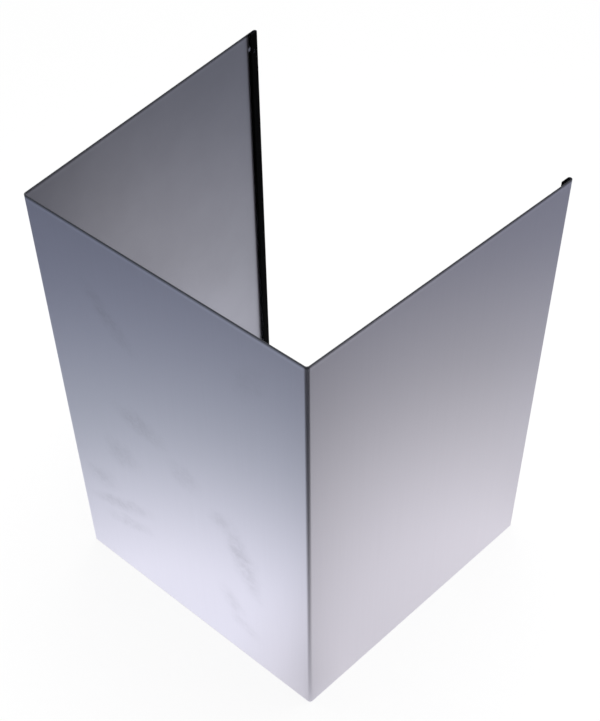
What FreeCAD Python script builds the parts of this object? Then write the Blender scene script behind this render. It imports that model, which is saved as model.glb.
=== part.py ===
"""Cooker hood chimney section: one stainless sheet folded into a U that closes against a wall.

The front panel faces -Y and the two side panels run back from it, opening out a little.
Each side ends in a hem, the sheet's rear edge turned back on the inside, and each turned-back
strip has a fixing hole near the top. The section is open at its top, its foot and its back.

Frame: millimetres, +Z up, origin at the middle of the foot of the bounding box.
"""

import FreeCAD, Part
import os
from enum import IntEnum
from math import cos, pi, radians, sin, tan

import Sketcher

NODE = "chimney_shell"
SHEET = "Sizes"

# Driving sizes, in millimetres and degrees
SIZES = {
    "front_width": 260.0,        # across the front, between the two outer corners
    "overall_depth": 260.0,      # front face to the rear end of the hems
    "section_height": 395.0,
    "side_splay": 4.5,           # each side's turn outwards from square, in degrees
    "sheet_thickness": 1.0,
    "bend_inner_radius": 1.9,    # inside of the two front bends
    "hem_gap": 1.8,              # between a side panel and its turned-back strip
    "return_length": 8.6,        # turned-back strip, from the hem's rear end to its free edge
    "hole_diameter": 3.8,
    "hole_drop": 15.5,           # hole centre below the top edge
    "hole_edge_distance": 2.7,   # hole centre from the strip's free edge
}

# A face counts as looking inwards where its normal leans at least this much towards the middle
INWARD_LEAN = 0.5
# Two measures of one volume agree to this share, and a level edge rises less than this
MATCH = 1e-6


class Spot(IntEnum):
    """Which point of a sketch element a constraint takes."""

    START = 1
    END = 2
    CENTRE = 3


class Axis(IntEnum):
    """Sketch axes, by the number that constraints know them by."""

    X = -1
    Y = -2


class Traced(IntEnum):
    """The strip's edges that the hole is set out from, in the order its sketch takes them."""

    FREE_EDGE = -3
    TOP_EDGE = -4


ORIGIN = (Axis.X, Spot.START)


def make_sheet(doc):
    """Write the driving sizes into a spreadsheet, one alias to a row."""
    sheet = doc.addObject("Spreadsheet::Sheet", SHEET)
    for row, (alias, value) in enumerate(SIZES.items(), start=1):
        sheet.set(f"A{row}", alias)
        sheet.set(f"B{row}", str(value))
        sheet.setAlias(f"B{row}", alias)
    doc.recompute()
    return sheet


def origin_plane(body, role):
    """Return the body's own origin plane that has the given role."""
    return next(plane for plane in body.Origin.OriginFeatures if plane.Role == role)


def constrain(sketch, name, constraint, formula):
    """Add a named dimension to a sketch and bind it to the sheet."""
    index = sketch.addConstraint(constraint)
    sketch.renameConstraint(index, name)
    sketch.setExpression(f"Constraints.{name}", formula)


def draw_half_profile(sketch, sheet):
    """Draw the sheet's section right of the middle, as one closed outline.

    The outline runs along the outer skin from the middle of the front round the bend to the
    hem, back along the turned-back strip, and home along the inner skin.
    """
    thick = sheet.sheet_thickness
    splay = radians(sheet.side_splay)
    front = -sheet.overall_depth / 2
    bend_inner = sheet.bend_inner_radius
    bend_outer = bend_inner + thick
    hem_inner = sheet.hem_gap / 2
    hem_outer = hem_inner + thick
    strip = sheet.return_length - hem_outer

    back = FreeCAD.Vector(sin(splay), cos(splay), 0)
    inward = FreeCAD.Vector(-cos(splay), sin(splay), 0)
    up = FreeCAD.Vector(0, 0, 1)
    corner = FreeCAD.Vector(sheet.front_width / 2, front, 0)
    set_back = bend_outer * tan((pi / 2 - splay) / 2)
    side = (sheet.overall_depth - hem_outer * (1 + sin(splay))) / cos(splay)

    bend_start = corner - FreeCAD.Vector(set_back, 0, 0)
    bend_centre = bend_start + FreeCAD.Vector(0, bend_outer, 0)
    bend_end = corner + back * set_back
    hem_start = corner + back * side
    hem_centre = hem_start + inward * hem_outer
    strip_start = hem_centre + inward * hem_outer
    strip_end = strip_start - back * strip
    inner_front = FreeCAD.Vector(0, thick, 0)

    def line(first, last):
        return sketch.addGeometry(Part.LineSegment(first, last))

    def arc(centre, radius, first, last):
        return sketch.addGeometry(Part.ArcOfCircle(Part.Circle(centre, up, radius), first, last))

    front_outer = line(FreeCAD.Vector(0, front, 0), bend_start)
    outer_bend = arc(bend_centre, bend_outer, -pi / 2, -splay)
    side_outer = line(bend_end, hem_start)
    outer_hem = arc(hem_centre, hem_outer, -splay, pi - splay)
    strip_face = line(strip_start, strip_end)
    free_edge = line(strip_end, strip_end - inward * thick)
    strip_back = line(strip_end - inward * thick, strip_start - inward * thick)
    inner_hem = arc(hem_centre, hem_inner, -splay, pi - splay)
    side_inner = line(hem_start + inward * thick, bend_end + inward * thick)
    inner_bend = arc(bend_centre, bend_inner, -pi / 2, -splay)
    front_inner = line(bend_start + inner_front, FreeCAD.Vector(0, front + thick, 0))
    middle = line(FreeCAD.Vector(0, front + thick, 0), FreeCAD.Vector(0, front, 0))
    sharp_corner = sketch.addGeometry(Part.Point(corner), True)

    smooth_joins = (
        (front_outer, Spot.END, outer_bend, Spot.START),
        (outer_bend, Spot.END, side_outer, Spot.START),
        (side_outer, Spot.END, outer_hem, Spot.START),
        (outer_hem, Spot.END, strip_face, Spot.START),
        (strip_back, Spot.END, inner_hem, Spot.END),
        (inner_hem, Spot.START, side_inner, Spot.START),
        (side_inner, Spot.END, inner_bend, Spot.END),
        (inner_bend, Spot.START, front_inner, Spot.START),
    )
    for join in smooth_joins:
        sketch.addConstraint(Sketcher.Constraint("Tangent", *join))
    sharp_joins = (
        (strip_face, Spot.END, free_edge, Spot.START),
        (free_edge, Spot.END, strip_back, Spot.START),
        (front_inner, Spot.END, middle, Spot.START),
        (middle, Spot.END, front_outer, Spot.START),
        (outer_bend, Spot.CENTRE, inner_bend, Spot.CENTRE),
        (outer_hem, Spot.CENTRE, inner_hem, Spot.CENTRE),
    )
    for join in sharp_joins:
        sketch.addConstraint(Sketcher.Constraint("Coincident", *join))
    for parallel in (strip_face, side_inner, strip_back):
        sketch.addConstraint(Sketcher.Constraint("Parallel", side_outer, parallel))
    sketch.addConstraint(Sketcher.Constraint("Perpendicular", strip_face, free_edge))
    sketch.addConstraint(Sketcher.Constraint("Horizontal", front_outer))
    sketch.addConstraint(Sketcher.Constraint("Horizontal", front_inner))
    sketch.addConstraint(Sketcher.Constraint("PointOnObject", middle, Spot.START, Axis.Y))
    sketch.addConstraint(Sketcher.Constraint("PointOnObject", middle, Spot.END, Axis.Y))
    sketch.addConstraint(Sketcher.Constraint("PointOnObject", sharp_corner, Spot.START, front_outer))
    sketch.addConstraint(Sketcher.Constraint("PointOnObject", sharp_corner, Spot.START, side_outer))

    constrain(
        sketch, "half_width",
        Sketcher.Constraint("DistanceX", *ORIGIN, sharp_corner, Spot.START, corner.x),
        f"{SHEET}.front_width / 2",
    )
    constrain(
        sketch, "front_from_middle",
        Sketcher.Constraint("DistanceY", middle, Spot.END, *ORIGIN, -front),
        f"{SHEET}.overall_depth / 2",
    )
    constrain(
        sketch, "hem_from_middle",
        Sketcher.Constraint("DistanceY", *ORIGIN, outer_hem, Spot.CENTRE, hem_centre.y),
        f"{SHEET}.overall_depth / 2 - {SHEET}.hem_gap / 2 - {SHEET}.sheet_thickness",
    )
    constrain(
        sketch, "sheet",
        Sketcher.Constraint("DistanceY", middle, Spot.END, middle, Spot.START, thick),
        f"{SHEET}.sheet_thickness",
    )
    constrain(
        sketch, "splay",
        Sketcher.Constraint("Angle", side_outer, Spot.START, Axis.Y, Spot.START, splay),
        f"{SHEET}.side_splay * 1 deg",
    )
    constrain(
        sketch, "bend_inside",
        Sketcher.Constraint("Radius", inner_bend, bend_inner),
        f"{SHEET}.bend_inner_radius",
    )
    constrain(
        sketch, "hem_inside",
        Sketcher.Constraint("Radius", inner_hem, hem_inner),
        f"{SHEET}.hem_gap / 2",
    )
    constrain(
        sketch, "strip",
        Sketcher.Constraint("Distance", strip_face, strip),
        f"{SHEET}.return_length - {SHEET}.hem_gap / 2 - {SHEET}.sheet_thickness",
    )


def strip_face_of(pad):
    """Return the name and face of the turned-back strip's flat side, the rearmost that looks inwards."""
    inward = {}
    for index, face in enumerate(pad.Shape.Faces, start=1):
        if isinstance(face.Surface, Part.Plane) and face.normalAt(0, 0).x < -INWARD_LEAN:
            inward[f"Face{index}"] = face
    return max(inward.items(), key=lambda item: item[1].CenterOfMass.y)


def edge_name(shape, edge):
    """Return the name that an edge has in a shape."""
    return next(f"Edge{index}" for index, other in enumerate(shape.Edges, start=1) if other.isSame(edge))


def drill_strip(doc, body, pad, sheet):
    """Cut the fixing hole through the turned-back strip alone, set out from its free and top edges."""
    name, face = strip_face_of(pad)
    upright = [edge for edge in face.Edges if edge.BoundBox.ZLength > MATCH]
    level = [edge for edge in face.Edges if edge.BoundBox.ZLength <= MATCH]
    free_edge = min(upright, key=lambda edge: edge.CenterOfMass.y)
    top_edge = max(level, key=lambda edge: edge.CenterOfMass.z)

    sketch = body.newObject("Sketcher::SketchObject", "hole_sketch")
    sketch.AttachmentSupport = [(pad, name)]
    sketch.MapMode = "FlatFace"
    doc.recompute()
    sketch.addExternal(pad.Name, edge_name(pad.Shape, free_edge))
    sketch.addExternal(pad.Name, edge_name(pad.Shape, top_edge))

    along = (face.CenterOfMass - free_edge.CenterOfMass).normalize()
    centre = free_edge.CenterOfMass + along * sheet.hole_edge_distance
    centre.z = sheet.section_height - sheet.hole_drop
    local = sketch.Placement.inverse().multVec(centre)
    outline = Part.Circle(local, FreeCAD.Vector(0, 0, 1), sheet.hole_diameter / 2)
    hole = sketch.addGeometry(outline)
    constrain(
        sketch, "diameter",
        Sketcher.Constraint("Diameter", hole, sheet.hole_diameter),
        f"{SHEET}.hole_diameter",
    )
    constrain(
        sketch, "edge_distance",
        Sketcher.Constraint("Distance", hole, Spot.CENTRE, Traced.FREE_EDGE, sheet.hole_edge_distance),
        f"{SHEET}.hole_edge_distance",
    )
    constrain(
        sketch, "drop",
        Sketcher.Constraint("Distance", hole, Spot.CENTRE, Traced.TOP_EDGE, sheet.hole_drop),
        f"{SHEET}.hole_drop",
    )

    pocket = body.newObject("PartDesign::Pocket", "fixing_hole")
    pocket.Profile = sketch
    pocket.setExpression("Length", f"{SHEET}.sheet_thickness + {SHEET}.hem_gap / 2")
    doc.recompute()
    cut = pad.Shape.Volume - pocket.Shape.Volume
    expected = pi / 4 * sheet.hole_diameter ** 2 * sheet.sheet_thickness
    if abs(cut - expected) > expected * MATCH:
        raise RuntimeError(f"the fixing hole took {cut:.3f} mm3, not {expected:.3f}")
    return pocket


def build_shell(doc, sheet):
    """Build the folded sheet: half its section, padded, drilled and mirrored."""
    body = doc.addObject("PartDesign::Body", NODE)
    body.Label = NODE
    profile = body.newObject("Sketcher::SketchObject", "half_profile")
    profile.AttachmentSupport = [(origin_plane(body, "XY_Plane"), "")]
    profile.MapMode = "FlatFace"
    draw_half_profile(profile, sheet)
    doc.recompute()

    pad = body.newObject("PartDesign::Pad", "half_section")
    pad.Profile = profile
    pad.setExpression("Length", f"{SHEET}.section_height")
    doc.recompute()

    hole = drill_strip(doc, body, pad, sheet)

    mirrored = body.newObject("PartDesign::Mirrored", "both_halves")
    mirrored.Originals = [pad, hole]
    mirrored.MirrorPlane = (origin_plane(body, "YZ_Plane"), [""])
    body.Tip = mirrored
    doc.recompute()
    whole = 2 * hole.Shape.Volume
    if abs(mirrored.Shape.Volume - whole) > whole * MATCH:
        raise RuntimeError("the mirrored half is missing or overlaps the first")
    return body


def check(doc, bodies):
    """Stop before anything is written if an object failed or a piece isn't one good solid."""
    failed = [item.Label for item in doc.Objects if {"Invalid", "Error"} & set(item.State)]
    if failed:
        raise RuntimeError(f"failed objects: {failed}")
    for item in doc.Objects:
        if item.isDerivedFrom("Sketcher::SketchObject") and not item.FullyConstrained:
            raise RuntimeError(f"{item.Label} is not fully constrained")
    for body in bodies:
        if body.Shape.isNull() or not body.Shape.isValid() or len(body.Shape.Solids) != 1:
            raise RuntimeError(f"{body.Label} is not one valid solid")


def main():
    """Build the document and write each piece's solid."""
    os.makedirs("parts", exist_ok=True)
    doc = FreeCAD.newDocument("chimney_section")
    sheet = make_sheet(doc)
    bodies = [build_shell(doc, sheet)]
    doc.recompute()
    check(doc, bodies)
    for body in bodies:
        body.Shape.exportStep(f"parts/{body.Label}.step")
        box = body.Shape.BoundBox
        print(body.Label, round(body.Shape.Volume, 1), "mm3", [round(v, 3) for v in (
            box.XMin, box.XMax, box.YMin, box.YMax, box.ZMin, box.ZMax)])


main()
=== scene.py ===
"""Cooker hood chimney section: one satin stainless sheet, folded into a U with hemmed rear edges.

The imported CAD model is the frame. The sheet is swept along its folded centre line, so that its
bends are round and its cut edges are eased, and it is then dressed by how each of its skins was
made. Lengths are in metres, +Z is up, and the front panel faces -Y.
"""

import logging
from dataclasses import dataclass
from enum import IntEnum
from math import cos, pi, radians, sin, tan

import bpy
from mathutils import Matrix, Vector


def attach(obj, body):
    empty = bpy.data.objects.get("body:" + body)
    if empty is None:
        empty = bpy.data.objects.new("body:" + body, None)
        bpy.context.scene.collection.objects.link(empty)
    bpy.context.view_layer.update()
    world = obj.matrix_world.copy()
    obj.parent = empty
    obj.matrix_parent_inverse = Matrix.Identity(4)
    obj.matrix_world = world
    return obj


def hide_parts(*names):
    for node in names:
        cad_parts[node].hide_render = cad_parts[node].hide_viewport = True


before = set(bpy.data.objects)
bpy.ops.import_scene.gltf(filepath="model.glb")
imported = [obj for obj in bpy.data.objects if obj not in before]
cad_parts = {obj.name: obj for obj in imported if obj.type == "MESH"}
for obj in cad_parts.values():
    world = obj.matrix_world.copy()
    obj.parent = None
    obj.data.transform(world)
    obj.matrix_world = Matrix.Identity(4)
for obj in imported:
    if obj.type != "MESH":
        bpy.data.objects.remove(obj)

LOG = logging.getLogger("chimney_section")
MM = 0.001
BODY = "root"
NODE = "chimney_shell"
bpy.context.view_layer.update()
PHOTO_SIZE = (600, 721)
HEIGHT = 395.0 * MM

# Where a noise texture's values mostly lie, and the colour sockets of a mix node.
NOISE_SPAN = (0.3, 0.7)
MIX_FIRST, MIX_SECOND, MIX_RESULT = 6, 7, 2

Point = tuple[float, float]
Point3 = tuple[float, float, float]
Fade = tuple[tuple[float, str], ...]
Tree = bpy.types.NodeTree
Socket = bpy.types.NodeSocket
Value = Socket | float


def linear(colour: str) -> tuple[float, float, float, float]:
    """Turn an sRGB hex colour into linear red, green, blue and alpha.

    Args:
        colour: Six hex digits after a hash sign.

    Returns:
        The colour as Blender's sockets take it.
    """
    parts = [int(colour[start:start + 2], 16) / 255 for start in (1, 3, 5)]
    red, green, blue = [p / 12.92 if p <= 0.04045 else ((p + 0.055) / 1.055) ** 2.4 for p in parts]
    return red, green, blue, 1.0


def add_node(
    tree: Tree,
    kind: str,
    inputs: dict[str | int, object] | None = None,
    **settings: object,
) -> bpy.types.Node:
    """Add one node, give it its settings, and set or link its inputs.

    Args:
        tree: The tree that takes the node.
        kind: Blender's identifier of the node type.
        inputs: A value, or an output socket to link from, for each input by name or number.
        settings: Properties of the node itself.

    Returns:
        The new node.
    """
    node = tree.nodes.new(kind)
    for name, value in settings.items():
        setattr(node, name, value)
    for key, value in (inputs or {}).items():
        if isinstance(value, bpy.types.NodeSocket):
            tree.links.new(value, node.inputs[key])
        else:
            node.inputs[key].default_value = value
    return node


def calculate(tree: Tree, operation: str, *values: Value, clamp: bool = False) -> Socket:
    """Put up to three values through one math node."""
    inputs = dict(enumerate(values))
    return add_node(tree, "ShaderNodeMath", inputs, operation=operation, use_clamp=clamp).outputs[0]


def product(tree: Tree, first: Value, *others: Value) -> Value:
    """Multiply values together."""
    for other in others:
        first = calculate(tree, "MULTIPLY", first, other)
    return first


def remap(
    tree: Tree, value: Value, span: Point, target: Point = (0.0, 1.0), **settings: object,
) -> Socket:
    """Map a span of a value onto a target range, held at both ends.

    Args:
        tree: The tree that takes the node.
        value: What is mapped.
        span: Where the mapping starts and ends.
        target: What comes out at the start and at the end.
        settings: Properties of the node, such as its interpolation.

    Returns:
        The mapped value.
    """
    return add_node(tree, "ShaderNodeMapRange", {
        "Value": value, "From Min": span[0], "From Max": span[1],
        "To Min": target[0], "To Max": target[1]}, **settings).outputs[0]


def around(tree: Tree, value: Value, change: float) -> Socket:
    """Turn noise into a factor that swings round 1 by a change to either side."""
    return remap(tree, value, NOISE_SPAN, (1 - change, 1 + change))


def blend(tree: Tree, share: Value, first: object, second: object) -> Socket:
    """Mix two colours, with the share of the second."""
    return add_node(tree, "ShaderNodeMix", {
        "Factor": share, MIX_FIRST: first, MIX_SECOND: second}, data_type="RGBA").outputs[MIX_RESULT]


def noise(
    tree: Tree, place: Socket, size: float, detail: float, roughness: float = 0.5,
) -> bpy.types.Node:
    """Fill space with soft noise.

    Args:
        tree: The material's node tree.
        place: Object coordinates, in metres.
        size: How far apart its spots are, in metres.
        detail: How many finer layers it has.
        roughness: How strong the finer layers are.

    Returns:
        The noise node, with a value and a colour as outputs.
    """
    return add_node(tree, "ShaderNodeTexNoise", {
        "Vector": place, "Scale": 1 / size, "Detail": detail, "Roughness": roughness})


def principled(tree: Tree, colour: str, shade: Value, inputs: dict[str, object]) -> Socket:
    """Shade a surface of one colour that is darker or lighter by place.

    Args:
        tree: The material's node tree.
        colour: The surface's colour.
        shade: A factor for the colour.
        inputs: The shader's other inputs.

    Returns:
        The shader.
    """
    tinted = add_node(tree, "ShaderNodeVectorMath", {
        0: linear(colour)[:3], "Scale": shade}, operation="SCALE")
    return add_node(tree, "ShaderNodeBsdfPrincipled", {
        "Base Color": tinted.outputs[0], **inputs}).outputs[0]


def seen(tree: Tree) -> Socket:
    """Tell the rays that the camera, metal and glass see by from those that light the object.

    Args:
        tree: The node tree that asks.

    Returns:
        A socket that is 1 for the first kind and 0 for the second.
    """
    path = add_node(tree, "ShaderNodeLightPath").outputs
    looks = calculate(tree, "MAXIMUM", path["Is Camera Ray"], path["Is Glossy Ray"])
    return calculate(tree, "MAXIMUM", looks, path["Is Transmission Ray"])


class Zone(IntEnum):
    """The sheet's surfaces, by how they were made; each value is a material slot."""

    OUTSIDE = 0
    INSIDE = 1
    CUT_EDGE = 2
    RETURN = 3
    HEM_INSIDE = 4


@dataclass(frozen=True)
class Finish:
    """A material and how its surface was made."""

    name: str

    def surface(self, tree: Tree, place: Socket) -> Socket:
        """Build the finish's own shader.

        Args:
            tree: The material's node tree.
            place: Object coordinates, in metres.

        Returns:
            The shader.
        """
        raise NotImplementedError

    def material(self) -> bpy.types.Material:
        """Make the material from the finish's shader."""
        made = bpy.data.materials.new(self.name)
        made.use_nodes = True
        tree = made.node_tree
        tree.nodes.clear()
        place = add_node(tree, "ShaderNodeTexCoord").outputs["Object"]
        add_node(tree, "ShaderNodeOutputMaterial", {"Surface": self.surface(tree, place)})
        return made


@dataclass(frozen=True)
class PaintedEdgeLines:
    """Painted shade and a painted highlight below the top edge: a dark line, then a fine light one.

    Each line starts and ends at a distance below the top edge.
    """

    shade_span: Point = (2.4 * MM, 0.8 * MM)
    shade_tone: float = 0.36
    highlight_span: Point = (5.0 * MM, 2.8 * MM)
    highlight_tone: float = 1.11

    def shade(self, tree: Tree, place: Socket) -> Socket:
        """Work out how much darker or lighter the skin is near the top edge.

        Args:
            tree: The material's node tree.
            place: Object coordinates, in metres.

        Returns:
            A factor for the skin's colour.
        """
        height = add_node(tree, "ShaderNodeSeparateXYZ", {0: place}).outputs["Z"]
        # Painted shade darkens the skin just below the top edge, and a painted highlight lightens it a
        # little lower down.
        lines = ((self.shade_span, self.shade_tone), (self.highlight_span, self.highlight_tone))
        return product(tree, *(
            remap(tree, height, (HEIGHT - start, HEIGHT - end), (1.0, tone))
            for (start, end), tone in lines))


@dataclass(frozen=True)
class Smudge:
    """One greasy wipe mark on the front panel, in millimetres from the middle of its foot."""

    across: float
    height: float
    length: float
    width: float
    tilt: float
    strength: float


SMUDGES = (
    Smudge(-57, 321, 66, 22, -44, 0.75),
    Smudge(-40, 220, 54, 26, -9, 0.80),
    Smudge(-69, 165, 40, 34, -1, 0.60),
    Smudge(-100, 113, 42, 26, 14, 0.60),
    Smudge(5, 193, 34, 30, -16, 0.55),
    Smudge(-79, 92, 84, 16, 23, 0.80),
    Smudge(-73, 72, 60, 16, 20, 0.65),
    Smudge(44, 169, 34, 24, 9, 0.60),
    Smudge(62, 137, 84, 28, -71, 1.00),
    Smudge(48, 68, 36, 22, -51, 0.60),
    Smudge(59, 45, 38, 20, -19, 0.50),
    Smudge(80, 347, 46, 24, 56, 0.35),
)


@dataclass(frozen=True)
class SatinStainless(Finish):
    """Cold-rolled stainless sheet, belt-polished to a satin, with wipe marks on the front panel.

    A streak of the grain has a size along X, Y and Z. A wipe mark fades between two shares of its
    half length, its outline is shifted by ragged noise, and broken noise thins it out in patches.
    The marks lie ahead of the front skin's depth and reach through it without end.
    """

    name: str = "stainless_steel_satin_polished"
    steel: str = "#E6E5EE"
    roughness: float = 0.31
    streak: Point3 = (1.3 * MM, 1.3 * MM, 110.0 * MM)
    grain_tone: float = 0.009
    grain_depth: float = 0.003 * MM
    smudge_tone: float = 0.15
    smudge_roughness: float = 0.06
    smudge_edge: Point = (0.1, 1.35)
    ragged_size: float = 14.0 * MM
    ragged_reach: float = 21.0 * MM
    broken_size: float = 9.0 * MM
    broken_span: Point = (0.35, 0.62)
    broken_tone: Point = (0.2, 1.0)
    front_skin: float = -129.7 * MM
    through: float = 1e6
    painted_edge_lines: PaintedEdgeLines = PaintedEdgeLines()

    def smudge_mask(self, tree: Tree, place: Socket) -> Value:
        """Draw the wipe marks as ragged, broken ellipses on the front panel's outer skin.

        Args:
            tree: The material's node tree.
            place: Object coordinates, in metres.

        Returns:
            A socket that is 1 in the middle of the strongest mark and 0 off the marks.
        """
        ragged = noise(tree, place, self.ragged_size, detail=5.0, roughness=0.72).outputs["Color"]
        centred = add_node(tree, "ShaderNodeVectorMath", {
            0: ragged, 1: (0.5, 0.5, 0.5)}, operation="SUBTRACT").outputs[0]
        shifted = add_node(tree, "ShaderNodeVectorMath", {
            0: centred, 1: (self.ragged_reach,) * 3, 2: place}, operation="MULTIPLY_ADD").outputs[0]
        marks: Value = 0.0
        for mark in SMUDGES:
            local = add_node(tree, "ShaderNodeMapping", {
                "Vector": shifted,
                "Location": (mark.across * MM, 0.0, mark.height * MM),
                "Rotation": (0.0, -radians(mark.tilt), 0.0),
                "Scale": (mark.length / 2 * MM, self.through, mark.width / 2 * MM),
            }, vector_type="TEXTURE").outputs[0]
            away = add_node(tree, "ShaderNodeVectorMath", {0: local}, operation="LENGTH").outputs["Value"]
            spot = remap(
                tree, away, self.smudge_edge, (mark.strength, 0.0), interpolation_type="SMOOTHSTEP")
            marks = calculate(tree, "MAXIMUM", marks, spot)
        depth = add_node(tree, "ShaderNodeSeparateXYZ", {0: place}).outputs["Y"]
        front = calculate(tree, "LESS_THAN", depth, self.front_skin)
        patches = noise(tree, place, self.broken_size, detail=4.0, roughness=0.7).outputs[0]
        broken = remap(tree, patches, self.broken_span, self.broken_tone)
        return product(tree, marks, front, broken)

    def surface(self, tree: Tree, place: Socket) -> Socket:
        """Polish the steel along the belt, dull it where it was wiped, and paint shade and a highlight below
        the top edge.
        """
        streaks = add_node(tree, "ShaderNodeMapping", {
            "Vector": place, "Scale": tuple(1 / size for size in self.streak)}).outputs[0]
        grain = noise(tree, streaks, 1.0, detail=3.0, roughness=0.55).outputs[0]
        smudge = self.smudge_mask(tree, place)
        clean = calculate(tree, "MULTIPLY_ADD", smudge, -self.smudge_tone, 1.0)
        shade = product(tree, around(tree, grain, self.grain_tone), clean, self.painted_edge_lines.shade(tree, place))
        rough = calculate(tree, "MULTIPLY_ADD", smudge, self.smudge_roughness, self.roughness)
        relief = add_node(tree, "ShaderNodeBump", {"Height": grain, "Distance": self.grain_depth})
        # Soft reflections that fade into each other, a barely seen upright grain, duller wipe marks, and
        # painted shade and a painted highlight below the top edge.
        return principled(tree, self.steel, shade, {
            "Metallic": 1.0, "Roughness": rough, "Normal": relief.outputs[0]})


@dataclass(frozen=True)
class MillFinish(Finish):
    """The sheet's unpolished inside, as it left the rolling mill."""

    name: str = "stainless_steel_mill_finish"
    steel: str = "#A2A2A8"
    roughness: float = 0.31
    cloud: float = 45.0 * MM
    cloud_tone: float = 0.03
    painted_edge_lines: PaintedEdgeLines = PaintedEdgeLines()

    def surface(self, tree: Tree, place: Socket) -> Socket:
        """Cloud the steel a little, and paint shade and a highlight below the top edge."""
        cloud = noise(tree, place, self.cloud, detail=4.0, roughness=0.6).outputs[0]
        # Painted shade and a painted highlight below the top edge.
        shade = product(tree, around(tree, cloud, self.cloud_tone), self.painted_edge_lines.shade(tree, place))
        # About half as bright as the satin side, with no grain and hardly any clouds.
        return principled(tree, self.steel, shade, {"Metallic": 1.0, "Roughness": self.roughness})


@dataclass(frozen=True)
class ShearedEdge(Finish):
    """The sheet's guillotined edges and drilled holes: torn steel, coloured far darker than the sheet as
    painted shade.
    """

    name: str = "sheared_edge_painted_dark"
    steel: str = "#2C2D31"
    roughness: float = 0.5
    tear: float = 0.8 * MM
    tear_tone: float = 0.25

    def surface(self, tree: Tree, place: Socket) -> Socket:
        """Speckle the steel where it tore."""
        torn = noise(tree, place, self.tear, detail=2.0).outputs[0]
        # Painted shade: the dark steel gives a thin dark line beside the polished skins, along the top edge
        # and at the foot.
        return principled(tree, self.steel, around(tree, torn, self.tear_tone), {
            "Metallic": 1.0, "Roughness": self.roughness})


@dataclass(frozen=True)
class BlackReturn(Finish):
    """The turned-back strips, coated matt black."""

    name: str = "black_coat_on_return"
    coat: str = "#040405"
    roughness: float = 0.8
    sheen: float = 0.02
    tooth: float = 0.6 * MM
    tooth_tone: float = 0.2
    tooth_depth: float = 0.02 * MM

    def surface(self, tree: Tree, place: Socket) -> Socket:
        """Coat the steel, with a fine tooth to the coat."""
        tooth = noise(tree, place, self.tooth, detail=2.0).outputs[0]
        relief = add_node(tree, "ShaderNodeBump", {"Height": tooth, "Distance": self.tooth_depth})
        # Nearly black from every side, with hardly any reflection.
        return principled(tree, self.coat, around(tree, tooth, self.tooth_tone), {
            "Roughness": self.roughness, "Specular IOR Level": self.sheen, "Normal": relief.outputs[0]})


FINISHES = {
    Zone.OUTSIDE: SatinStainless(),
    Zone.INSIDE: MillFinish(),
    Zone.CUT_EDGE: ShearedEdge(),
    Zone.RETURN: BlackReturn(),
    Zone.HEM_INSIDE: MillFinish("stainless_steel_bright_mill_finish", roughness=0.17),
}


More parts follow.
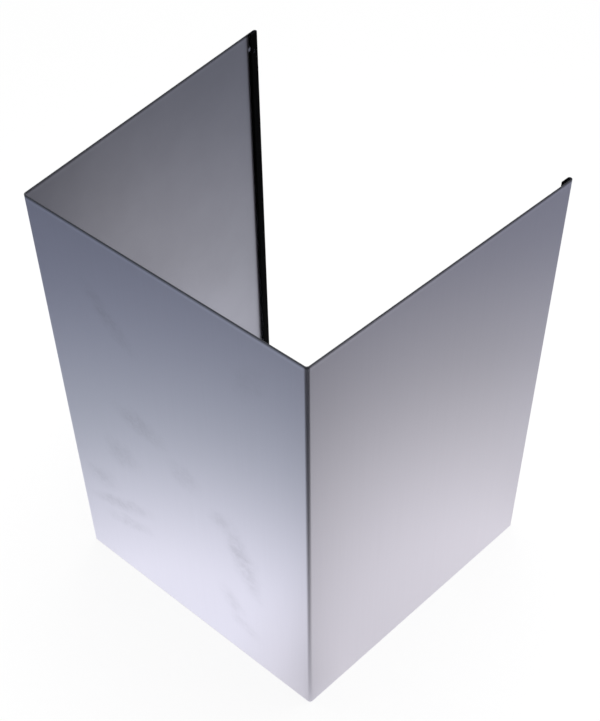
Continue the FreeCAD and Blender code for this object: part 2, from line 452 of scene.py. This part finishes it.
@dataclass
class ChimneyShell:
    """The chimney's one sheet: front, two splayed sides, two bends and two drilled rear hems.

    The first eleven fields are the part's own sizes. The sweep adds eased cut edges and points that
    support the flats beside a bend. A face's zone is told by the parts of its normal, the leans.
    """

    front_width: float = 260.0 * MM
    depth: float = 260.0 * MM
    height: float = HEIGHT
    splay: float = radians(4.5)
    thickness: float = 1.0 * MM
    bend_inside: float = 1.9 * MM
    hem_gap: float = 1.8 * MM
    return_length: float = 8.6 * MM
    hole_radius: float = 1.9 * MM
    hole_drop: float = 15.5 * MM
    hole_edge_distance: float = 2.7 * MM
    eased: float = 0.3 * MM
    support: float = 0.5 * MM
    bend_steps: int = 14
    hem_steps: int = 20
    eased_steps: int = 5
    hole_sides: int = 48
    smooth_below: float = radians(13)
    wall_lean: float = 0.5
    duct_lean: float = 0.2
    edge_lean: float = 0.3
    sheltered_share: float = 0.9

    def __post_init__(self) -> None:
        """Work out the points that the fold's arcs turn about."""
        self.back = Vector((sin(self.splay), cos(self.splay)))
        self.inward = Vector((-cos(self.splay), sin(self.splay)))
        self.corner = Vector((self.front_width / 2, -self.depth / 2))
        self.hem_outside = self.hem_gap / 2 + self.thickness
        bend_outside = self.bend_inside + self.thickness
        set_back = bend_outside * tan((pi / 2 - self.splay) / 2)
        side = (self.depth - self.hem_outside * (1 + sin(self.splay))) / cos(self.splay)
        self.bend_centre = self.corner + Vector((-set_back, bend_outside))
        self.hem_centre = self.corner + self.back * side + self.inward * self.hem_outside
        self.strip_length = self.return_length - self.hem_outside

    def arc(self, centre: Vector, radius: float, first: float, last: float, steps: int) -> list[Vector]:
        """Walk round one bend.

        Args:
            centre: What the bend turns about.
            radius: The sheet's middle at the bend.
            first: Angle at the start.
            last: Angle at the end.
            steps: How many chords.

        Returns:
            The points, both ends included.
        """
        angles = (first + (last - first) * step / steps for step in range(steps + 1))
        return [Vector((centre.x + radius * cos(angle), centre.y + radius * sin(angle))) for angle in angles]

    def half_path(self) -> list[Vector]:
        """Follow the sheet's middle from the front's middle to the right strip's free edge.

        Returns:
            Points in plan, with one close to each bend so that the flats shade flat.
        """
        half = self.thickness / 2
        bend = self.arc(
            self.bend_centre, self.bend_inside + half, -pi / 2, -self.splay, self.bend_steps)
        hem = self.arc(
            self.hem_centre, self.hem_gap / 2 + half, -self.splay, pi - self.splay, self.hem_steps)
        before_bend = bend[0] - Vector((self.support, 0.0))
        after_bend = bend[-1] + self.back * self.support
        facing_strip = hem[0] - self.back * (self.strip_length + self.support)
        before_hem = hem[0] - self.back * self.support
        after_hem = hem[-1] - self.back * self.support
        free_edge = hem[-1] - self.back * self.strip_length
        return [before_bend, *bend, after_bend, facing_strip, before_hem, *hem, after_hem, free_edge]

    def path_mesh(self) -> bpy.types.Mesh:
        """Lay out the whole centre line at half height, from the left free edge to the right one."""
        right = [(x, y) for x, y in self.half_path()]
        left = [(-x, y) for x, y in reversed(right)]
        points = [(x, y, self.height / 2) for x, y in left + right]
        mesh = bpy.data.meshes.new(NODE)
        mesh.from_pydata(points, [(step, step + 1) for step in range(len(points) - 1)], [])
        return mesh

    def hole_centre(self) -> Vector:
        """Find the right hole's centre in the middle of its strip."""
        middle = self.hem_centre + self.inward * (self.hem_gap + self.thickness) / 2
        plan = middle + self.back * (self.hole_edge_distance - self.strip_length)
        return Vector((plan.x, plan.y, self.height - self.hole_drop))

    def sheet_tree(self, finish: bpy.types.Material) -> Tree:
        """Build the tree that rolls the centre line out into a sheet and drills its strips.

        Args:
            finish: Material of the whole sheet before its zones are told apart.

        Returns:
            The node tree, with its sizes as named inputs.
        """
        tree = bpy.data.node_groups.new("folded_sheet", "GeometryNodeTree")
        face = tree.interface
        face.new_socket("Geometry", in_out="OUTPUT", socket_type="NodeSocketGeometry")
        face.new_socket("Centre Line", in_out="INPUT", socket_type="NodeSocketGeometry")
        for name in (
                "Thickness", "Height", "Eased Edge", "Hole Radius", "Hole Depth", "Splay", "Smooth Below"):
            face.new_socket(name, in_out="INPUT", socket_type="NodeSocketFloat")
        for name in ("Right Hole", "Left Hole"):
            face.new_socket(name, in_out="INPUT", socket_type="NodeSocketVector")
        given = add_node(tree, "NodeGroupInput").outputs
        line = add_node(tree, "GeometryNodeMeshToCurve", {"Mesh": given["Centre Line"]})
        blank = add_node(tree, "GeometryNodeCurvePrimitiveQuadrilateral", {
            "Width": given["Thickness"], "Height": given["Height"]})
        eased = add_node(tree, "GeometryNodeFilletCurve", {
            "Curve": blank.outputs[0], "Count": self.eased_steps, "Radius": given["Eased Edge"]},
            mode="POLY")
        sheet = add_node(tree, "GeometryNodeCurveToMesh", {
            "Curve": line.outputs[0], "Profile Curve": eased.outputs[0], "Fill Caps": True})
        drill = add_node(tree, "GeometryNodeMeshCylinder", {
            "Vertices": self.hole_sides, "Radius": given["Hole Radius"], "Depth": given["Hole Depth"]})
        drilled = add_node(tree, "GeometryNodeMeshBoolean", {
            "Mesh 1": sheet.outputs[0]}, operation="DIFFERENCE", solver="EXACT")
        turned = calculate(tree, "MULTIPLY", given["Splay"], -1.0)
        for place, angle in (("Right Hole", turned), ("Left Hole", given["Splay"])):
            lean = add_node(tree, "ShaderNodeCombineXYZ", {"Y": pi / 2, "Z": angle})
            set_drill = add_node(tree, "GeometryNodeTransform", {
                "Geometry": drill.outputs["Mesh"], "Translation": given[place],
                "Rotation": lean.outputs[0]})
            tree.links.new(set_drill.outputs[0], drilled.inputs["Mesh 2"])
        corner = add_node(tree, "GeometryNodeInputMeshEdgeAngle")
        gentle = add_node(tree, "FunctionNodeCompare", {
            "A": corner.outputs["Unsigned Angle"], "B": given["Smooth Below"]}, operation="LESS_THAN")
        faces = add_node(tree, "GeometryNodeSetShadeSmooth", {
            "Geometry": drilled.outputs[0], "Shade Smooth": True}, domain="FACE")
        shaded = add_node(tree, "GeometryNodeSetShadeSmooth", {
            "Geometry": faces.outputs[0], "Shade Smooth": gentle.outputs[0]}, domain="EDGE")
        real = add_node(tree, "GeometryNodeRealizeInstances", {"Geometry": shaded.outputs[0]})
        dressed = add_node(tree, "GeometryNodeSetMaterial", {
            "Geometry": real.outputs[0], "Material": finish})
        add_node(tree, "NodeGroupOutput", {"Geometry": dressed.outputs[0]})
        return tree

    def build(self, materials: dict[Zone, bpy.types.Material]) -> bpy.types.Object:
        """Make the sheet as one plain mesh and dress each zone of it.

        Args:
            materials: The material of each zone.

        Returns:
            The finished piece, riding on the root body.
        """
        draft = bpy.data.objects.new("centre_line", self.path_mesh())
        bpy.context.scene.collection.objects.link(draft)
        roll = draft.modifiers.new("folded_sheet", "NODES")
        roll.node_group = self.sheet_tree(materials[Zone.OUTSIDE])
        hole = self.hole_centre()
        sizes = {
            "Thickness": self.thickness,
            "Height": self.height,
            "Eased Edge": self.eased,
            "Hole Radius": self.hole_radius,
            "Hole Depth": self.thickness + self.hem_gap,
            "Splay": self.splay,
            "Smooth Below": self.smooth_below,
            "Right Hole": hole,
            "Left Hole": Vector((-hole.x, hole.y, hole.z)),
        }
        for socket in roll.node_group.interface.items_tree:
            if socket.in_out == "INPUT" and socket.name in sizes:
                roll[socket.identifier] = sizes[socket.name]
        depsgraph = bpy.context.evaluated_depsgraph_get()
        mesh = bpy.data.meshes.new_from_object(draft.evaluated_get(depsgraph))
        bpy.data.objects.remove(draft)
        mesh.name = "folded_sheet"
        piece = bpy.data.objects.new("folded_sheet", mesh)
        bpy.context.scene.collection.objects.link(piece)
        self.dress(mesh, materials)
        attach(piece, BODY)
        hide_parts(NODE)
        return piece

    def zone_at(self, place: Vector, facing: Vector) -> Zone:
        """Tell which surface of the sheet a face belongs to.

        Args:
            place: The face's middle.
            facing: The face's normal.

        Returns:
            The face's zone.
        """
        side = 1 if place.x > 0 else -1
        mirrored = Vector((side * place.x, place.y)) - self.hem_centre
        depth_in = mirrored.dot(self.inward)
        along = mirrored.dot(self.back)
        leaning = Vector((side * facing.x, facing.y)).dot(self.inward)
        on_edge = abs(facing.z) > self.edge_lean
        on_strip = depth_in > self.hem_gap / 2 and along > -self.strip_length - self.thickness
        free_edge = along < self.eased - self.strip_length
        sheltered = abs(depth_in) < self.hem_gap / 2 + self.thickness * self.sheltered_share
        if self.in_hole(place) and abs(leaning) < self.wall_lean:
            return Zone.CUT_EDGE
        if on_strip and (leaning > self.duct_lean or on_edge or free_edge):
            return Zone.RETURN
        if on_edge:
            return Zone.CUT_EDGE
        if along > -self.strip_length - self.support and sheltered:
            return Zone.HEM_INSIDE
        if facing.x * place.x + facing.y * place.y < 0:
            return Zone.INSIDE
        return Zone.OUTSIDE

    def in_hole(self, place: Vector) -> bool:
        """Tell whether a face lies at one of the two holes."""
        away = Vector((abs(place.x), place.y, place.z)) - self.hole_centre()
        return away.length < self.hole_radius + self.thickness / 2

    def dress(self, mesh: bpy.types.Mesh, materials: dict[Zone, bpy.types.Material]) -> None:
        """Give each face of the sheet its zone's material.

        Args:
            mesh: The sheet's mesh.
            materials: The material of each zone.
        """
        mesh.materials.clear()
        for zone in Zone:
            mesh.materials.append(materials[zone])
        for polygon in mesh.polygons:
            polygon.material_index = self.zone_at(polygon.center, polygon.normal)


@dataclass(frozen=True)
class WhitePaper(Finish):
    """Matt white paper: an even white to the eye that keeps a faint shadow near the object."""

    name: str = "white_paper"
    white: str = "#FFFFFF"
    shadow_share: float = 0.15
    shadow_reach: Point = (0.5, 1.5)

    def surface(self, tree: Tree, place: Socket) -> Socket:
        """Make the paper white to the eye and to reflections, with a share of light from the lamp."""
        away = add_node(tree, "ShaderNodeVectorMath", {0: place}, operation="LENGTH").outputs["Value"]
        even = remap(tree, away, self.shadow_reach, (1 - self.shadow_share, 1.0))
        share = calculate(tree, "MULTIPLY", seen(tree), even)
        matt = add_node(tree, "ShaderNodeBsdfDiffuse", {"Color": linear(self.white)})
        white = add_node(tree, "ShaderNodeEmission", {"Color": linear(self.white), "Strength": 1.0})
        return add_node(tree, "ShaderNodeMixShader", {
            0: share, 1: matt.outputs[0], 2: white.outputs[0]}).outputs[0]


@dataclass(frozen=True)
class GradedCard(Finish):
    """A glowing card of painted reflections, graded from light to grey and dark towards the camera, for the
    steel to reflect.

    Each fade holds distances from the card's middle, in metres, and the colours there; the fades paint the
    fall of light across the room and the shade on the floor near the object. The turns are where one fade
    gives way to the next, by the
    X or Y part of the heading from the middle, and the right fade grows lighter by its lean over a span of
    Y. The dark part is a painted reflection of a camera and its stand: a sector that opens by its widths per
    reach, and a strip in its middle.
    """

    name: str = "painted_reflection_card"
    middle: Point3 = (0.05, 0.02, 0.0)
    level: float = 1.08
    front_fade: Fade = (
        (0.20, "#F3F3FB"), (0.34, "#BABEC6"), (0.40, "#A7ACB5"),
        (0.54, "#898E9B"), (0.69, "#6E7382"), (0.90, "#5E6372"))
    right_fade: Fade = (
        (0.14, "#DFDCDF"), (0.26, "#C4C2C4"), (0.39, "#A3A2A5"),
        (0.52, "#929298"), (0.61, "#7D7E87"), (0.75, "#6D6F7B"))
    rear_fade: Fade = (
        (0.18, "#C8C7CD"), (0.26, "#D3D3DA"), (0.35, "#C8C8D1"), (0.50, "#A9ABB5"), (0.75, "#8E919D"))
    right_turn: Point = (-0.08, 0.6)
    right_span: Point = (-0.6, 0.75)
    right_lean: Point = (0.97, 1.055)
    rear_turn: Point = (0.72, 0.97)
    left_turn: Point = (-0.5, 0.0)
    camera_side: Point3 = (0.743, -0.669, 0.0)
    camera_reach: Point = (0.15, 0.49)
    camera_sector: Point = (1.2, 4.0)
    camera_tone: str = "#24262D"
    least_reach: float = 1.0 * MM
    stand_middle: float = -0.022
    stand_half: Point = (0.016, 0.056)
    stand_from: Point = (0.178, 0.192)
    stand_share: float = 0.24

    def fade(self, tree: Tree, away: Socket, fade: Fade) -> Socket:
        """Grade the card from its middle outwards.

        Args:
            tree: The card's node tree.
            away: Distance from the card's middle, in metres.
            fade: Distances and the colours there, from the inside out.

        Returns:
            The graded colour.
        """
        ramp = add_node(tree, "ShaderNodeValToRGB", {"Fac": away})
        stops = ramp.color_ramp.elements
        while len(stops) < len(fade):
            stops.new(1.0)
        for stop, (distance, colour) in zip(stops, fade):
            stop.position = distance
            stop.color = linear(colour)
        return ramp.outputs["Color"]

    def graded(self, tree: Tree, place: Socket) -> Socket:
        """Blend the three fades by the heading from the card's middle.

        Args:
            tree: The card's node tree.
            place: Object coordinates, in metres.

        Returns:
            The card's colour without its dark part.
        """
        offset = add_node(tree, "ShaderNodeVectorMath", {
            0: place, 1: self.middle}, operation="SUBTRACT").outputs[0]
        away = add_node(tree, "ShaderNodeVectorMath", {0: offset}, operation="LENGTH").outputs["Value"]
        heading = add_node(tree, "ShaderNodeVectorMath", {0: offset}, operation="NORMALIZE").outputs[0]
        turned = add_node(tree, "ShaderNodeSeparateXYZ", {0: heading}).outputs
        front = self.fade(tree, away, self.front_fade)
        right = add_node(tree, "ShaderNodeVectorMath", {
            0: self.fade(tree, away, self.right_fade),
            "Scale": remap(tree, turned["Y"], self.right_span, self.right_lean),
        }, operation="SCALE").outputs[0]
        rear = self.fade(tree, away, self.rear_fade)
        behind = product(
            tree, remap(tree, turned["Y"], self.rear_turn), remap(tree, turned["X"], self.left_turn))
        ahead = blend(tree, remap(tree, turned["X"], self.right_turn), front, right)
        return blend(tree, behind, ahead, rear)

    def darkness(self, tree: Tree, place: Socket) -> Socket:
        """Work out the painted reflection of the camera: a sector that widens towards the camera, and a
        narrow strip in it for its stand.

        Args:
            tree: The card's node tree.
            place: Object coordinates, in metres.

        Returns:
            A socket that is 1 where the card is darkest.
        """
        towards = add_node(tree, "ShaderNodeVectorMath", {
            0: place, 1: self.camera_side}, operation="DOT_PRODUCT").outputs["Value"]
        across = add_node(tree, "ShaderNodeVectorMath", {
            0: place, 1: (-self.camera_side[1], self.camera_side[0], 0.0),
        }, operation="DOT_PRODUCT").outputs["Value"]
        aside = calculate(tree, "ABSOLUTE", calculate(tree, "SUBTRACT", across, self.stand_middle))
        stand = product(
            tree, remap(tree, aside, self.stand_half, (self.stand_share, 0.0)),
            remap(tree, towards, self.stand_from))
        beyond = calculate(tree, "SUBTRACT", towards, self.camera_reach[0])
        reach = calculate(tree, "MAXIMUM", beyond, self.least_reach)
        sector = remap(tree, calculate(tree, "DIVIDE", aside, reach), self.camera_sector, (1.0, 0.0))
        near = remap(tree, towards, self.camera_reach)
        return calculate(tree, "MULTIPLY_ADD", near, sector, stand, clamp=True)

    def surface(self, tree: Tree, place: Socket) -> Socket:
        """Make the card glow by itself as painted reflections, so that its tones don't hang on the lamp."""
        colour = blend(
            tree, self.darkness(tree, place), self.graded(tree, place), linear(self.camera_tone))
        return add_node(tree, "ShaderNodeEmission", {"Color": colour, "Strength": self.level}).outputs[0]


@dataclass
class Studio:
    """A plain white floor under one soft lamp, with a glowing card of painted reflections that only the
    steel's reflections show.
    """

    floor_half: float = 6.0
    card_half: float = 3.0
    card_lift: float = 1.0 * MM
    room_grey: str = "#7C7C7C"
    room_white: str = "#FFFFFF"
    lamp_place: Point3 = (0.0, 0.2, 2.2)
    lamp_size: float = 1.6
    lamp_watts: float = 52.0

    def flat_square(self, name: str, half: float, height: float, finish: Finish) -> bpy.types.Object:
        """Lay one flat square round the object.

        Args:
            name: The square's name.
            half: Half the length of its side.
            height: How high it lies.
            finish: What it is made of.

        Returns:
            The square.
        """
        mesh = bpy.data.meshes.new(name)
        corners = ((-half, -half), (half, -half), (half, half), (-half, half))
        mesh.from_pydata([(x, y, height) for x, y in corners], [], [(0, 1, 2, 3)])
        mesh.materials.append(finish.material())
        square = bpy.data.objects.new(name, mesh)
        bpy.context.scene.collection.objects.link(square)
        return square

    def room(self) -> None:
        """Fill the room with an even grey light, white to the eye and to reflections."""
        scene = bpy.context.scene
        scene.world = bpy.data.worlds.new("studio_room")
        scene.world.use_nodes = True
        tree = scene.world.node_tree
        tree.nodes.clear()
        dim, white = (
            add_node(tree, "ShaderNodeBackground", {"Color": linear(colour), "Strength": 1.0})
            for colour in (self.room_grey, self.room_white))
        mix = add_node(tree, "ShaderNodeMixShader", {
            0: seen(tree), 1: dim.outputs[0], 2: white.outputs[0]})
        add_node(tree, "ShaderNodeOutputWorld", {"Surface": mix.outputs[0]})

    def lamp(self) -> bpy.types.Object:
        """Hang one soft square lamp overhead, aimed at the object's foot."""
        data = bpy.data.lights.new("overhead_softbox", "AREA")
        data.shape = "SQUARE"
        data.size = self.lamp_size
        data.energy = self.lamp_watts
        lamp = bpy.data.objects.new("overhead_softbox", data)
        lamp.location = self.lamp_place
        lamp.rotation_euler = (-Vector(self.lamp_place)).to_track_quat("-Z", "Y").to_euler()
        bpy.context.scene.collection.objects.link(lamp)
        return lamp

    def build(self) -> None:
        """Set up the floor, the card, the room and the lamp."""
        floor = self.flat_square("floor", self.floor_half, 0.0, WhitePaper())
        card = self.flat_square("painted_reflection_surround", self.card_half, self.card_lift, GradedCard())
        # Painted reflections: only the steel's reflections see this glowing card.
        card.visible_camera = False
        card.visible_diffuse = False
        card.visible_shadow = False
        self.room()
        self.lamp()


@dataclass
class PhotoCamera:
    """The camera, where the photograph was taken from."""

    place: Point3 = (484.19 * MM, -534.46 * MM, 946.66 * MM)
    yaw: float = radians(-41.690)
    pitch: float = radians(47.127)
    roll: float = radians(0.901)
    focal_pixels: float = 1284.7
    centre: Point = (300.0, 400.0)

    def build(self) -> bpy.types.Object:
        """Aim the camera and make it the scene's own."""
        data = bpy.data.cameras.new("photo_camera")
        width, height = PHOTO_SIZE
        data.lens = self.focal_pixels * data.sensor_width / max(PHOTO_SIZE)
        data.shift_x = (width / 2 - self.centre[0]) / max(PHOTO_SIZE)
        data.shift_y = (self.centre[1] - height / 2) / max(PHOTO_SIZE)
        level = Vector((cos(self.yaw), -sin(self.yaw), 0.0))
        heading = Vector((sin(self.yaw), cos(self.yaw), 0.0))
        ahead = heading * cos(self.pitch) - Vector((0.0, 0.0, sin(self.pitch)))
        down = ahead.cross(level)
        right = level * cos(self.roll) + down * sin(self.roll)
        below = down * cos(self.roll) - level * sin(self.roll)
        axes = Matrix((right, -below, -ahead)).transposed()
        camera = bpy.data.objects.new("photo_camera", data)
        camera.matrix_world = Matrix.Translation(self.place) @ axes.to_4x4()
        bpy.context.scene.collection.objects.link(camera)
        bpy.context.scene.camera = camera
        return camera


def main() -> None:
    """Build the sheet, the studio and the camera, and log the sheet's face count."""
    logging.basicConfig(level=logging.INFO, format="%(name)s: %(message)s")
    bpy.context.scene.view_settings.view_transform = "Standard"
    sheet = ChimneyShell().build({zone: finish.material() for zone, finish in FINISHES.items()})
    LOG.info("%s: %d faces", sheet.name, len(sheet.data.polygons))
    Studio().build()
    PhotoCamera().build()


if __name__ == "__main__":
    main()
